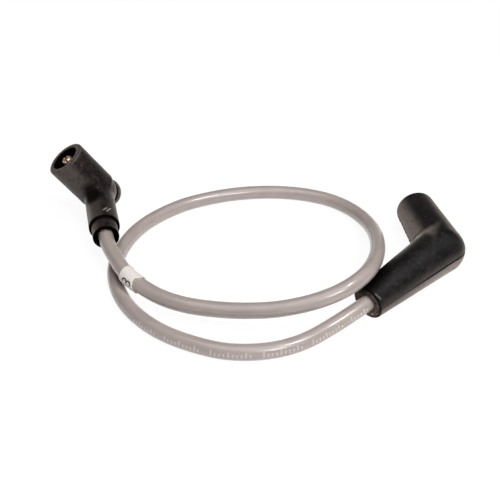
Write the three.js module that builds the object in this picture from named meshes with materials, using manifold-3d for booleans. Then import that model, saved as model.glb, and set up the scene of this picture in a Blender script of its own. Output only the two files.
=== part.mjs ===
// Spark plug wire: a silicone ignition lead with a moulded elbow boot and a crimped terminal at each end.
// Millimetres, +Z up. The wire lies coiled once on the plane z = 0, and the origin is at the middle of
// its own box, on that plane.

import * as THREE from 'three';
import { mergeVertices } from 'three/addons/utils/BufferGeometryUtils.js';
import Module from 'manifold-3d';

const wasm = await Module();
wasm.setup();

// Clearance between pieces that touch, and how far a cutting shape runs past the face it opens
const FIT_GAP = 0.3;
const CUT_PAST = 1;

// Lead: a conductor core in a silicone jacket
const LEAD_DIAMETER = 7;
const CONDUCTOR_DIAMETER = 2.4;
const LEAD_SIDES = 12;
const CONDUCTOR_SIDES = 6;
const LEAD_STEPS = 60;

// Number sleeve: a white band pushed over the lead, and its place as a share of the lead's route
const SLEEVE_THICKNESS = 0.4;
const SLEEVE_START = 0.101;
const SLEEVE_END = 0.118;
const SLEEVE_STEPS = 3;

// Coil boot: a right-angled boot with a short mouth leg, a slim neck and a knob to pull it by
const COIL_TURN = THREE.MathUtils.degToRad(90);
const COIL_HEADING = THREE.MathUtils.degToRad(104.4);
const COIL_ROLL = THREE.MathUtils.degToRad(56.6);
const COIL_ELBOW_X = -78.5;
const COIL_ELBOW_Y = 36.3;
const COIL_MOUTH_DIAMETER = 20;
const COIL_MOUTH_LENGTH = 25.1;
const COIL_MOUTH_ROUND = 1.1;
const COIL_MOUTH_BORE = 13.8;
const COIL_MOUTH_DEPTH = 15.5;
const COIL_ELBOW_DIAMETER = 18.4;
const COIL_NECK_DIAMETER = 14.7;
const COIL_NECK_LENGTH = 35.2;
const COIL_NECK_ROUND = 0.5;

// Pull knob on the outside of the coil boot's bend
const KNOB_DIAMETER = 15;
const KNOB_REACH = 13.9;
const KNOB_THICKNESS = 2.6;
const KNOB_ROUND = 1;
const KNOB_STEM_DIAMETER = 9;

// Coil boot seal: the collar that closes the neck, with a spigot that plugs into it
const COLLAR_DIAMETER = 12.4;
const COLLAR_LENGTH = 8.1;
const COLLAR_ROUND = 0.5;
const COLLAR_RECESS_DIAMETER = 10.4;
const COLLAR_RECESS_DEPTH = 2.5;
const SPIGOT_DIAMETER = 10.8;
const SPIGOT_LENGTH = 7.5;

// Plug boot: an open elbow with two long tapered legs, lying on its side
const PLUG_TURN = THREE.MathUtils.degToRad(55.6);
const PLUG_HEADING = THREE.MathUtils.degToRad(41.9);
const PLUG_ELBOW_X = 88.3;
const PLUG_ELBOW_Y = -11.95;
const PLUG_ELBOW_DIAMETER = 22.4;
const PLUG_CORNER_REACH = 12.1;
const CORNER_INSET = 0.05;
const CORNER_OVERLAP = 0.5;
const PLUG_CABLE_END_DIAMETER = 15.5;
const PLUG_CABLE_LENGTH = 51.1;
const PLUG_CABLE_ROUND = 0.9;
const PLUG_MOUTH_DIAMETER = 19;
const PLUG_MOUTH_LENGTH = 38.7;
const PLUG_MOUTH_ROUND = 1.4;
const PLUG_MOUTH_BORE = 13.8;
const PLUG_MOUTH_DEPTH = 20;
const PLUG_RIB_HEIGHT = 0.5;
const PLUG_RIB_WIDTH = 1.6;
const PLUG_RIB_PITCH = 5;
const PLUG_RIB_COUNT = 2;
const MOUTH_CHAMFER = 0.4;

// Terminals: the crimp barrel on the jacket's end and the pocket on the conductor are alike at both ends
const CRIMP_WALL = 0.5;
const CRIMP_LENGTH = 8;
const CRIMP_SEAM = 0.9;
const POCKET_WALL = 0.7;
const POCKET_LENGTH = 7;
const TERMINAL_ROD_DIAMETER = 4.4;
const COIL_POCKET_START = 4.5;
const PLUG_POCKET_START = 6;

// Split pin of the coil terminal
const PIN_TIP_DIAMETER = 5;
const PIN_TIP_LENGTH = 5;
const PIN_NOSE = 1.2;
const PIN_BORE = 2.2;
const PIN_SLOT = 0.8;
const PIN_SLOT_DEPTH = 9;
const PIN_BELOW_MOUTH = 0.4;

// Socket of the plug terminal, with the groove of its spring clip
const SOCKET_START = 3;
const SOCKET_LENGTH = 12.5;
const SOCKET_FLOOR = 2;
const SOCKET_BORE = 6.4;
const SOCKET_WALL = 1.1;
const SOCKET_SLOT = 1;
const SOCKET_SLOT_DEPTH = 7;
const GROOVE_DEPTH = 0.7;
const GROOVE_FROM_MOUTH = 3.6;
const CLIP_WIRE = 0.7;
const CLIP_ARC = THREE.MathUtils.degToRad(310);
const CLIP_SIDES = 8;
const CLIP_STEPS = 24;

// Facets round a turned form, and along a rounded edge
const ROUND_SIDES = 28;
const ROUND_STEPS = 4;
const MERGE_DISTANCE = 1e-4;

// Route of the free lead, from the coil boot's neck to the plug boot's cable end
const FREE_ROUTE = [
  [-62.7, -17.6, 13.0],
  [-58.9, -24.6, 12.3],
  [-54.0, -32.1, 11.2],
  [-47.6, -37.8, 10.3],
  [-38.6, -44.5, 9.7],
  [-27.6, -49.4, 9.5],
  [-14.9, -52.4, 9.7],
  [-2.2, -54.3, 10.5],
  [10.3, -55.1, 11.9],
  [22.9, -54.0, 13.9],
  [33.5, -51.6, 16.2],
  [42.3, -47.5, 18.4],
  [49.7, -40.0, 19.2],
  [56.1, -25.5, 16.8],
  [59.3, -10.2, 13.2],
  [60.2, 4.8, 9.4],
  [58.3, 19.0, 6.4],
  [52.2, 33.0, 4.4],
  [42.5, 42.9, 3.7],
  [29.6, 48.6, 3.6],
  [16.1, 51.0, 3.6],
  [2.6, 50.9, 3.6],
  [-10.9, 48.6, 3.6],
  [-24.2, 44.0, 3.6],
  [-37.1, 37.0, 3.6],
  [-54.0, 19.5, 3.6],
  [-61.7, 0.6, 3.6],
  [-62.9, -18.8, 3.6],
  [-55.1, -41.0, 3.6],
  [-38.2, -59.2, 3.6],
  [-14.5, -70.4, 3.6],
  [-2.2, -72.0, 3.6],
  [11.3, -70.2, 3.6],
  [22.7, -65.5, 3.8],
  [32.8, -58.7, 4.6],
  [41.1, -53.2, 6.3],
];

// Sizes that follow from the ones above
const leadRadius = LEAD_DIAMETER / 2;
const leadBore = leadRadius + FIT_GAP;
const conductorRadius = CONDUCTOR_DIAMETER / 2;
const conductorBore = conductorRadius + FIT_GAP;
const crimpRadius = leadBore + CRIMP_WALL;
const pocketRadius = conductorBore + POCKET_WALL;
const rodRadius = TERMINAL_ROD_DIAMETER / 2;
const crimpChamber = crimpRadius + FIT_GAP;
const socketRadius = SOCKET_BORE / 2 + SOCKET_WALL;
const grooveRadius = socketRadius - GROOVE_DEPTH;
const clipRadius = grooveRadius + FIT_GAP + CLIP_WIRE / 2;
const socketChamber = clipRadius + CLIP_WIRE / 2 + FIT_GAP;
const coilCrimpStart = COIL_POCKET_START + POCKET_LENGTH;
const plugCrimpStart = PLUG_POCKET_START + POCKET_LENGTH;

// Materials
const rubber = new THREE.MeshStandardMaterial({ color: 0x2b2826, roughness: 0.55, metalness: 0 });
const silicone = new THREE.MeshStandardMaterial({ color: 0xb2a8a5, roughness: 0.4, metalness: 0 });
const brass = new THREE.MeshStandardMaterial({ color: 0xb8803a, roughness: 0.3, metalness: 1 });
const steel = new THREE.MeshStandardMaterial({ color: 0x9a9ca0, roughness: 0.3, metalness: 1 });
const vinyl = new THREE.MeshStandardMaterial({ color: 0xf2f0ee, roughness: 0.5, metalness: 0 });
const core = new THREE.MeshStandardMaterial({ color: 0x3a3a3c, roughness: 0.6, metalness: 0.2 });

// Solids for joining and cutting
function toSolid(geometry) {
  const bare = geometry.index ? geometry.toNonIndexed() : geometry.clone();
  bare.deleteAttribute('normal');
  bare.deleteAttribute('uv');
  const merged = mergeVertices(bare, MERGE_DISTANCE);
  const corners = merged.index.array;
  const triangles = [];
  for (let i = 0; i < corners.length; i += 3) {
    const [a, b, c] = [corners[i], corners[i + 1], corners[i + 2]];
    if (a !== b && b !== c && c !== a) triangles.push(a, b, c);
  }
  const mesh = new wasm.Mesh({
    numProp: 3,
    vertProperties: new Float32Array(merged.attributes.position.array),
    triVerts: new Uint32Array(triangles),
  });
  return new wasm.Manifold(mesh);
}

function toGeometry(solid) {
  const mesh = solid.getMesh();
  const geometry = new THREE.BufferGeometry();
  geometry.setAttribute('position', new THREE.BufferAttribute(mesh.vertProperties, mesh.numProp));
  geometry.setIndex(new THREE.BufferAttribute(mesh.triVerts, 1));
  geometry.computeVertexNormals();
  return geometry;
}

function build(added, cut = []) {
  let solid = toSolid(added[0]);
  for (const geometry of added.slice(1)) solid = solid.add(toSolid(geometry));
  for (const geometry of cut) solid = solid.subtract(toSolid(geometry));
  return toGeometry(solid);
}

// A form turned about +X, from its outline as [along, radius] points that start and end on the axis
function turned(outline, sides = ROUND_SIDES) {
  const points = outline.map(([along, radius]) => new THREE.Vector2(radius, along));
  const geometry = new THREE.LatheGeometry(points, sides);
  geometry.rotateZ(-Math.PI / 2);
  return geometry;
}

// A quarter round edge between a turned side and the flat end at "length"
function roundedEdge(length, radius, round) {
  const points = [];
  for (let step = 0; step <= ROUND_STEPS; step += 1) {
    const angle = (Math.PI / 2) * (step / ROUND_STEPS);
    points.push([length - round + round * Math.sin(angle), radius - round + round * Math.cos(angle)]);
  }
  return points;
}

function taperedLeg(rootRadius, endRadius, length, round) {
  return turned([[0, 0], [0, rootRadius], ...roundedEdge(length, endRadius, round), [length, 0]]);
}

function plainRod(start, end, radius) {
  return turned([[start, 0], [start, radius], [end, radius], [end, 0]]);
}

// A bore that opens through the face at "mouth", with a chamfered edge
function chamferedBore(start, mouth, radius, chamfer) {
  return turned([
    [start, 0],
    [start, radius],
    [mouth - chamfer, radius],
    [mouth + CUT_PAST, radius + chamfer + CUT_PAST],
    [mouth + CUT_PAST, 0],
  ]);
}

function ball(radius, alongX = 0, alongY = 0) {
  const geometry = new THREE.SphereGeometry(radius, ROUND_SIDES, ROUND_SIDES / 2);
  geometry.translate(alongX, alongY, 0);
  return geometry;
}

function slot(start, end, width, depth) {
  const geometry = new THREE.BoxGeometry(end - start, width, depth);
  geometry.translate((start + end) / 2, 0, 0);
  return geometry;
}

// In a boot's own frame the elbow's centre is the origin, the cable leg runs along -X, and the mouth
// leg lies in the XY plane, turned from +X by the boot's bend
function towardsCable(geometry) {
  return geometry.rotateZ(Math.PI);
}

function towardsMouth(geometry, turn) {
  return geometry.rotateZ(turn);
}

function towardsCorner(geometry, turn) {
  return geometry.rotateZ((turn - Math.PI) / 2);
}

// Coil boot
const coilMouthRadius = COIL_MOUTH_DIAMETER / 2;
const coilMouthFloor = COIL_MOUTH_LENGTH - COIL_MOUTH_DEPTH;
const coilNeckRadius = COIL_NECK_DIAMETER / 2;
const knobRadius = KNOB_DIAMETER / 2;
const spigotBore = SPIGOT_DIAMETER / 2 + FIT_GAP;
const spigotFloor = COIL_NECK_LENGTH - SPIGOT_LENGTH - FIT_GAP;

function pullKnob() {
  const inner = KNOB_REACH - KNOB_THICKNESS;
  const stemRadius = KNOB_STEM_DIAMETER / 2;
  return turned([
    [0, 0],
    [0, stemRadius],
    [inner, stemRadius],
    [inner, knobRadius - KNOB_ROUND / 2],
    [inner + KNOB_ROUND / 2, knobRadius],
    ...roundedEdge(KNOB_REACH, knobRadius, KNOB_ROUND),
    [KNOB_REACH, 0],
  ]);
}

function coilBoot() {
  const added = [
    ball(COIL_ELBOW_DIAMETER / 2),
    towardsMouth(taperedLeg(coilMouthRadius, coilMouthRadius, COIL_MOUTH_LENGTH, COIL_MOUTH_ROUND), COIL_TURN),
    towardsCable(taperedLeg(coilNeckRadius, coilNeckRadius, COIL_NECK_LENGTH, COIL_NECK_ROUND)),
    towardsCorner(pullKnob(), COIL_TURN),
  ];
  const cut = [
    ball(crimpChamber),
    towardsCable(plainRod(0, coilCrimpStart + CRIMP_LENGTH + FIT_GAP, crimpChamber)),
    towardsCable(plainRod(0, COIL_NECK_LENGTH + CUT_PAST, leadBore)),
    towardsCable(plainRod(spigotFloor, COIL_NECK_LENGTH + CUT_PAST, spigotBore)),
    towardsMouth(plainRod(0, COIL_MOUTH_LENGTH, rodRadius + FIT_GAP), COIL_TURN),
    towardsMouth(chamferedBore(coilMouthFloor, COIL_MOUTH_LENGTH, COIL_MOUTH_BORE / 2, MOUTH_CHAMFER), COIL_TURN),
  ];
  return build(added, cut);
}

function coilBootSeal() {
  const start = COIL_NECK_LENGTH + FIT_GAP;
  const end = start + COLLAR_LENGTH;
  const spigotEnd = start - SPIGOT_LENGTH;
  const collar = turned([
    [spigotEnd, 0],
    [spigotEnd, SPIGOT_DIAMETER / 2],
    [start, SPIGOT_DIAMETER / 2],
    [start, COLLAR_DIAMETER / 2],
    ...roundedEdge(end, COLLAR_DIAMETER / 2, COLLAR_ROUND),
    [end, 0],
  ]);
  const cut = [
    towardsCable(plainRod(spigotEnd - CUT_PAST, end + CUT_PAST, leadBore)),
    towardsCable(plainRod(end - COLLAR_RECESS_DEPTH, end + CUT_PAST, COLLAR_RECESS_DIAMETER / 2)),
  ];
  return build([towardsCable(collar)], cut);
}

// The crimp barrel with its open seam, the pocket that holds the conductor, and the rod to the elbow
function crimpAdded(pocketStart) {
  const crimpStart = pocketStart + POCKET_LENGTH;
  return [
    towardsCable(plainRod(0, pocketStart + CUT_PAST, rodRadius)),
    towardsCable(plainRod(pocketStart, crimpStart, pocketRadius)),
    towardsCable(plainRod(crimpStart - CRIMP_WALL, crimpStart + CRIMP_LENGTH, crimpRadius)),
  ];
}

function crimpCut(pocketStart) {
  const crimpStart = pocketStart + POCKET_LENGTH;
  const crimpEnd = crimpStart + CRIMP_LENGTH + CUT_PAST;
  const seam = slot(crimpStart + CRIMP_WALL, crimpEnd, CRIMP_SEAM, LEAD_DIAMETER);
  seam.translate(0, 0, leadRadius + crimpRadius / 2);
  return [
    towardsCable(plainRod(pocketStart, crimpEnd, conductorBore)),
    towardsCable(plainRod(crimpStart, crimpEnd, leadBore)),
    towardsCable(seam),
  ];
}

function coilTerminal() {
  const tip = COIL_MOUTH_LENGTH - PIN_BELOW_MOUTH;
  const tipRadius = PIN_TIP_DIAMETER / 2;
  const pin = turned([
    [0, 0],
    [0, rodRadius],
    [tip - PIN_TIP_LENGTH, rodRadius],
    [tip - PIN_TIP_LENGTH / 2, tipRadius],
    ...roundedEdge(tip, tipRadius, PIN_NOSE),
    [tip, 0],
  ]);
  const added = [ball(rodRadius), towardsMouth(pin, COIL_TURN), ...crimpAdded(COIL_POCKET_START)];
  const cut = [
    ...crimpCut(COIL_POCKET_START),
    towardsMouth(plainRod(tip - PIN_SLOT_DEPTH, tip + CUT_PAST, PIN_BORE / 2), COIL_TURN),
    towardsMouth(slot(tip - PIN_SLOT_DEPTH, tip + CUT_PAST, PIN_SLOT, PIN_TIP_DIAMETER * 2), COIL_TURN),
  ];
  return build(added, cut);
}

// Plug boot
const plugElbowRadius = PLUG_ELBOW_DIAMETER / 2;
const plugCableRadius = PLUG_CABLE_END_DIAMETER / 2;
const plugMouthRadius = PLUG_MOUTH_DIAMETER / 2;
const plugMouthFloor = PLUG_MOUTH_LENGTH - PLUG_MOUTH_DEPTH;

function ribbedMouth() {
  const radius = PLUG_MOUTH_BORE / 2;
  const outline = [[plugMouthFloor, 0], [plugMouthFloor, radius]];
  for (let rib = PLUG_RIB_COUNT; rib >= 1; rib -= 1) {
    const middle = PLUG_MOUTH_LENGTH - rib * PLUG_RIB_PITCH;
    outline.push(
      [middle - PLUG_RIB_WIDTH / 2, radius],
      [middle, radius - PLUG_RIB_HEIGHT],
      [middle + PLUG_RIB_WIDTH / 2, radius],
    );
  }
  outline.push(
    [PLUG_MOUTH_LENGTH - MOUTH_CHAMFER, radius],
    [PLUG_MOUTH_LENGTH + CUT_PAST, radius + MOUTH_CHAMFER + CUT_PAST],
    [PLUG_MOUTH_LENGTH + CUT_PAST, 0],
  );
  return turned(outline);
}

// Outer corner of the elbow: where both legs, run on past the elbow, overlap, with its tip rounded off.
// It stands just inside the legs' roots, and overlaps them
function plugCorner() {
  const radius = plugElbowRadius - CORNER_INSET;
  const runPast = plainRod(-CORNER_OVERLAP, plugElbowRadius, radius);
  const runBack = plainRod(-plugElbowRadius, CORNER_OVERLAP, radius);
  const mitre = toSolid(runPast).intersect(toSolid(towardsMouth(runBack, PLUG_TURN)));
  return toGeometry(mitre.intersect(toSolid(ball(PLUG_CORNER_REACH))));
}

function plugBoot() {
  const added = [
    plugCorner(),
    towardsCable(taperedLeg(plugElbowRadius, plugCableRadius, PLUG_CABLE_LENGTH, PLUG_CABLE_ROUND)),
    towardsMouth(taperedLeg(plugElbowRadius, plugMouthRadius, PLUG_MOUTH_LENGTH, PLUG_MOUTH_ROUND), PLUG_TURN),
  ];
  const cut = [
    ball(socketChamber),
    towardsCable(plainRod(0, plugCrimpStart + CRIMP_LENGTH + FIT_GAP, crimpChamber)),
    towardsCable(chamferedBore(0, PLUG_CABLE_LENGTH, leadBore, MOUTH_CHAMFER)),
    towardsMouth(plainRod(0, PLUG_MOUTH_LENGTH, socketChamber), PLUG_TURN),
    towardsMouth(ribbedMouth(), PLUG_TURN),
  ];
  return build(added, cut);
}

function plugTerminal() {
  const mouth = SOCKET_START + SOCKET_LENGTH;
  const groove = mouth - GROOVE_FROM_MOUTH;
  const grooveHalf = CLIP_WIRE / 2 + FIT_GAP;
  const socket = turned([
    [SOCKET_START, 0],
    [SOCKET_START, socketRadius],
    [groove - grooveHalf, socketRadius],
    [groove - grooveHalf, grooveRadius],
    [groove + grooveHalf, grooveRadius],
    [groove + grooveHalf, socketRadius],
    [mouth, socketRadius],
    [mouth, 0],
  ]);
  const added = [
    ball(rodRadius),
    towardsMouth(plainRod(0, SOCKET_START + SOCKET_FLOOR / 2, rodRadius), PLUG_TURN),
    towardsMouth(socket, PLUG_TURN),
    ...crimpAdded(PLUG_POCKET_START),
  ];
  const slotDepth = socketRadius * 2 + CUT_PAST;
  const cut = [
    ...crimpCut(PLUG_POCKET_START),
    towardsMouth(chamferedBore(SOCKET_START + SOCKET_FLOOR, mouth, SOCKET_BORE / 2, MOUTH_CHAMFER), PLUG_TURN),
    towardsMouth(slot(mouth - SOCKET_SLOT_DEPTH, mouth + CUT_PAST, SOCKET_SLOT, slotDepth), PLUG_TURN),
  ];
  return build(added, cut);
}

// Round wire ring with a gap, in the groove of the plug terminal's socket
function plugTerminalClip() {
  const along = SOCKET_START + SOCKET_LENGTH - GROOVE_FROM_MOUTH;
  const points = [];
  for (let step = 0; step <= CLIP_STEPS; step += 1) {
    const angle = CLIP_ARC * (step / CLIP_STEPS - 0.5);
    points.push(new THREE.Vector3(along, clipRadius * Math.cos(angle), clipRadius * Math.sin(angle)));
  }
  const ring = new THREE.CatmullRomCurve3(points);
  return towardsMouth(tubeAlong(ring, CLIP_STEPS, CLIP_WIRE / 2, CLIP_SIDES), PLUG_TURN);
}

function circle(radius, sides) {
  const points = [];
  for (let side = 0; side < sides; side += 1) {
    const angle = (2 * Math.PI * side) / sides;
    points.push(new THREE.Vector2(radius * Math.cos(angle), radius * Math.sin(angle)));
  }
  return points;
}

function tubeAlong(path, steps, radius, sides, boreRadius = 0) {
  const section = new THREE.Shape(circle(radius, sides));
  if (boreRadius > 0) section.holes.push(new THREE.Path(circle(boreRadius, sides)));
  return new THREE.ExtrudeGeometry(section, { steps, extrudePath: path, bevelEnabled: false });
}

// Places of the two boots. Each rests on the plane z = 0: the coil boot on its knob, the plug boot on
// its elbow and on the ends of both legs
function coilPlace() {
  const cornerDown = Math.cos(COIL_TURN / 2) * Math.sin(COIL_ROLL);
  const cornerLevel = Math.sqrt(1 - cornerDown ** 2);
  const rimCentre = KNOB_REACH - KNOB_ROUND;
  const height = rimCentre * cornerDown + (knobRadius - KNOB_ROUND) * cornerLevel + KNOB_ROUND;
  const group = new THREE.Group();
  group.position.set(COIL_ELBOW_X, COIL_ELBOW_Y, height);
  group.rotation.set(COIL_ROLL, 0, COIL_HEADING, 'ZYX');
  return group;
}

function plugPlace() {
  const pitch = Math.asin((plugElbowRadius - plugCableRadius) / PLUG_CABLE_LENGTH);
  const mouthRise = (plugMouthRadius - plugElbowRadius) / PLUG_MOUTH_LENGTH;
  const rollRise = mouthRise - Math.cos(PLUG_TURN) * Math.sin(pitch);
  const roll = Math.asin(rollRise / (Math.sin(PLUG_TURN) * Math.cos(pitch)));
  const group = new THREE.Group();
  group.position.set(PLUG_ELBOW_X, PLUG_ELBOW_Y, plugElbowRadius);
  group.rotation.set(roll, -pitch, PLUG_HEADING, 'ZYX');
  return group;
}

const coil = coilPlace();
const plug = plugPlace();
coil.updateMatrixWorld();
plug.updateMatrixWorld();

// The lead runs straight up each boot's bore, and along its free route between them
function leadPoint(boot, fromElbow) {
  return boot.localToWorld(new THREE.Vector3(-fromElbow, 0, 0));
}

function leadRoute() {
  const coilEnd = coilCrimpStart + FIT_GAP;
  const plugEnd = plugCrimpStart + FIT_GAP;
  const neckEnd = COIL_NECK_LENGTH + FIT_GAP + COLLAR_LENGTH;
  const points = [
    leadPoint(coil, coilEnd),
    leadPoint(coil, (coilEnd + neckEnd) / 2),
    leadPoint(coil, neckEnd),
    leadPoint(coil, neckEnd + LEAD_DIAMETER / 2),
    ...FREE_ROUTE.map((point) => new THREE.Vector3(...point)),
    leadPoint(plug, PLUG_CABLE_LENGTH + LEAD_DIAMETER / 2),
    leadPoint(plug, PLUG_CABLE_LENGTH),
    leadPoint(plug, (plugEnd + PLUG_CABLE_LENGTH) / 2),
    leadPoint(plug, plugEnd),
  ];
  return new THREE.CatmullRomCurve3(points, false, 'centripetal');
}

const route = leadRoute();

function leadJacket() {
  return tubeAlong(route, LEAD_STEPS, leadRadius, LEAD_SIDES, conductorBore);
}

// The conductor fills the jacket's bore and stands out at each end, into the terminal's pocket
function leadConductor() {
  const bare = POCKET_LENGTH - FIT_GAP;
  const ends = [[coil, COIL_POCKET_START + FIT_GAP], [plug, PLUG_POCKET_START + FIT_GAP]];
  const added = [tubeAlong(route, LEAD_STEPS, conductorRadius, CONDUCTOR_SIDES)];
  for (const [boot, start] of ends) {
    const end = towardsCable(plainRod(start, start + bare + 2 * FIT_GAP, conductorRadius));
    added.push(end.applyMatrix4(boot.matrixWorld));
  }
  return build(added);
}

function numberSleeve() {
  const points = [];
  for (let step = 0; step <= SLEEVE_STEPS; step += 1) {
    const share = SLEEVE_START + (SLEEVE_END - SLEEVE_START) * (step / SLEEVE_STEPS);
    points.push(route.getPointAt(share));
  }
  const band = new THREE.CatmullRomCurve3(points);
  const inner = leadRadius + FIT_GAP;
  return tubeAlong(band, SLEEVE_STEPS, inner + SLEEVE_THICKNESS, LEAD_SIDES * 2, inner);
}

function piece(name, geometry, material) {
  const mesh = new THREE.Mesh(geometry, material);
  mesh.name = name;
  return mesh;
}

coil.add(
  piece('coil_boot', coilBoot(), rubber),
  piece('coil_boot_seal', coilBootSeal(), rubber),
  piece('coil_terminal', coilTerminal(), brass),
);
plug.add(
  piece('plug_boot', plugBoot(), rubber),
  piece('plug_terminal', plugTerminal(), brass),
  piece('plug_terminal_clip', plugTerminalClip(), steel),
);

const sparkPlugWire = new THREE.Group();
sparkPlugWire.add(
  coil,
  plug,
  piece('lead_jacket', leadJacket(), silicone),
  piece('lead_conductor', leadConductor(), core),
  piece('number_sleeve', numberSleeve(), vinyl),
);

export default sparkPlugWire;
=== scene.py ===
"""Spark plug wire: grey silicone lead, two moulded rubber boots, brass terminals and a number sleeve.

Shapes are worked out in millimetres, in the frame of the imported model, and made in metres.
"""

import math

import bmesh
import bpy
import numpy as np
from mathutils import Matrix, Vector
from mathutils.kdtree import KDTree


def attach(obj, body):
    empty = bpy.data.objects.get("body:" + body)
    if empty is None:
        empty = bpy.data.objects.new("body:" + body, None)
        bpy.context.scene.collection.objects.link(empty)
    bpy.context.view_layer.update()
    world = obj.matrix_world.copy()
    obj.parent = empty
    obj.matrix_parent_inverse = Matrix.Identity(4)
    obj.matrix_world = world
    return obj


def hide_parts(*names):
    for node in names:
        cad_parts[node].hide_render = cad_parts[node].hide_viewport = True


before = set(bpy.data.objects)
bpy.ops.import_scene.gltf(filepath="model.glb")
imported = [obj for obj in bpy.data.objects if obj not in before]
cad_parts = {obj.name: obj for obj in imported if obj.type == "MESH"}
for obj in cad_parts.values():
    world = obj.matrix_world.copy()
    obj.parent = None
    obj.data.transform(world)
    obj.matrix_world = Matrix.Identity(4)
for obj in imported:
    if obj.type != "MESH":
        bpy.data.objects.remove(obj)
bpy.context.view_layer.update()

MM = 0.001

# Lead
LEAD_DIAMETER = 7.0
CONDUCTOR_DIAMETER = 2.4
BORE_GAP = 0.3
LEAD_STEP = 1.0
LEAD_SIDES = 40

# Coil boot
COIL_TURN = math.radians(90)
COIL_HEADING = math.radians(104.4)
COIL_ROLL = math.radians(56.6)
COIL_ELBOW = (-78.5, 36.3)
COIL_MOUTH_RADIUS = 10.0
COIL_MOUTH_LENGTH = 25.1
COIL_MOUTH_BORE = 6.9
COIL_MOUTH_FLOOR = 9.6
COIL_ELBOW_RADIUS = 9.2
COIL_NECK_RADIUS = 7.35
COIL_NECK_LENGTH = 35.2
COLLAR_RADIUS = 6.2
COLLAR_LENGTH = 8.1
COLLAR_RING_PITCH = 0.9
COLLAR_RING_WIDTH = 0.36
COLLAR_RING_DEPTH = 0.1
COLLAR_RECESS_RADIUS = 5.2
COLLAR_RECESS_DEPTH = 2.5
SPIGOT_RADIUS = 5.4
SPIGOT_LENGTH = 7.5
KNOB_RADIUS = 7.5
KNOB_REACH = 13.9
KNOB_THICKNESS = 2.6
KNOB_ROUND = 1.0
KNOB_STEM_RADIUS = 4.5
COIL_BEND_FILLET = 2.4
BORE_EDGE = 0.2
# Middle of the painted shade in the coil boot's inner corner, in its own frame
CORNER_SHADE_CENTRE = (-14.5, 7.8, 0.8)

# Plug boot
PLUG_TURN = math.radians(55.6)
PLUG_HEADING = math.radians(41.9)
PLUG_ELBOW = (88.3, -11.95)
PLUG_ELBOW_RADIUS = 11.2
PLUG_CORNER_ROUND = 4.0
PLUG_CORNER_OVERLAP = 3.0
PLUG_CABLE_RADIUS = 7.75
PLUG_CABLE_LENGTH = 51.1
PLUG_MOUTH_RADIUS = 9.5
PLUG_MOUTH_LENGTH = 38.7
PLUG_MOUTH_BORE = 6.9
PLUG_MOUTH_FLOOR = 18.7
PLUG_RIB_PITCH = 5.0
PLUG_RIB_WIDTH = 0.6
PLUG_RIB_HEIGHT = 0.5
CUT_RADIUS = PLUG_CABLE_RADIUS - 1.0
SEAM_TILT = math.radians(4)
SEAM_STEP = 0.12
FLASH_HEIGHT = 0.5

# Terminals
LEAD_BORE = LEAD_DIAMETER / 2 + BORE_GAP
CRIMP_RADIUS = LEAD_BORE + 0.5
CRIMP_LENGTH = 8.0
CHAMBER_RADIUS = CRIMP_RADIUS + BORE_GAP
POCKET_BORE = CONDUCTOR_DIAMETER / 2 + BORE_GAP
POCKET_RADIUS = POCKET_BORE + 0.7
POCKET_LENGTH = 7.0
ROD_RADIUS = 2.2
COIL_POCKET_START = 4.5
PLUG_POCKET_START = 6.0
PIN_TIP_RADIUS = 2.5
PIN_BELOW_MOUTH = 0.4
PIN_SPLIT_LENGTH = 9.0
PIN_SPLIT_WIDTH = 0.8
PIN_HOLE_RADIUS = 1.1
CRIMP_SEAM_WIDTH = 0.9
SOCKET_CHAMBER_RADIUS = 4.95

# Number sleeve: its place past the coil boot's neck, and its numeral's place past its own start
SLEEVE_AFTER_NECK = 27.1
SLEEVE_LENGTH = 9.4
SLEEVE_INNER = LEAD_DIAMETER / 2 + 0.12
SLEEVE_OUTER = LEAD_DIAMETER / 2 + 0.5
SLEEVE_SIDES = 96
SLEEVE_STEPS = 26
NUMERAL_PLACE = 5.6
NUMERAL_DROP = 5.3
NUMERAL_LOOP = 1.15
NUMERAL_STROKE = 0.3

# Ticks printed along the lead's last stretch: how far down its side, and how they are grouped
MARK_DROP = 4.4
MARK_START = 452.0
MARK_END = 560.0
MARK_PITCH = 1.7
MARKS_PER_TALL = 4
MARKS_PER_GROUP = 12
MARK_TALL_EXTRA = 0.9

# Colours, as linear red, green and blue
BARE_RUBBER = (0.0036, 0.0033, 0.0038)
# Painted shade for the rubber's bores, hollows and corners and under the crossing lead
RUBBER_SHADE_COLOUR = (0.0026, 0.0018, 0.0017)
BROWN_DUST = (0.042, 0.0270, 0.0240)
FAINT_DUST = (0.018, 0.0135, 0.0126)
# Pale talc, also used as painted floor reflection and sheen on the boots
TALC_AND_SHEEN = (0.400, 0.335, 0.296)
FLECK = (0.22, 0.18, 0.155)
# Colour of the pale marks, one of which is a painted highlight
PALE_MARK_AND_HIGHLIGHT = (0.60, 0.54, 0.51)
TORN_DARK = (0.018, 0.012, 0.010)
TORN_LIGHT = (0.17, 0.115, 0.094)
TORN_SPECK = (0.5, 0.42, 0.37)
SILICONE_DEEP = (0.432, 0.362, 0.340)
SILICONE_PALE = (0.524, 0.444, 0.420)
SILICONE_WARM = (0.486, 0.412, 0.356)
SILICONE_DIRT = (0.22, 0.185, 0.17)
SILICONE_SHADOW = (0.016, 0.010, 0.009)
WHITE_PRINT = (0.80, 0.735, 0.71)
VINYL_CLEAN = (0.975, 0.905, 0.850)
VINYL_SOILED = (0.92, 0.835, 0.785)
BLACK_PRINT = (0.012, 0.009, 0.010)
BRASS_BRIGHT = (0.94, 0.70, 0.53)
BRASS_TARNISHED = (0.55, 0.33, 0.19)
# Painted shade on the pin's shaft inside the coil boot's bore
BRASS_SHADE_IN_BORE = (0.80, 0.30, 0.10)
STEEL_BRIGHT = (0.56, 0.56, 0.58)
STEEL_WORN = (0.40, 0.39, 0.38)
CARBON_DARK = (0.012, 0.012, 0.013)
CARBON_LIGHT = (0.05, 0.05, 0.052)
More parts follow.
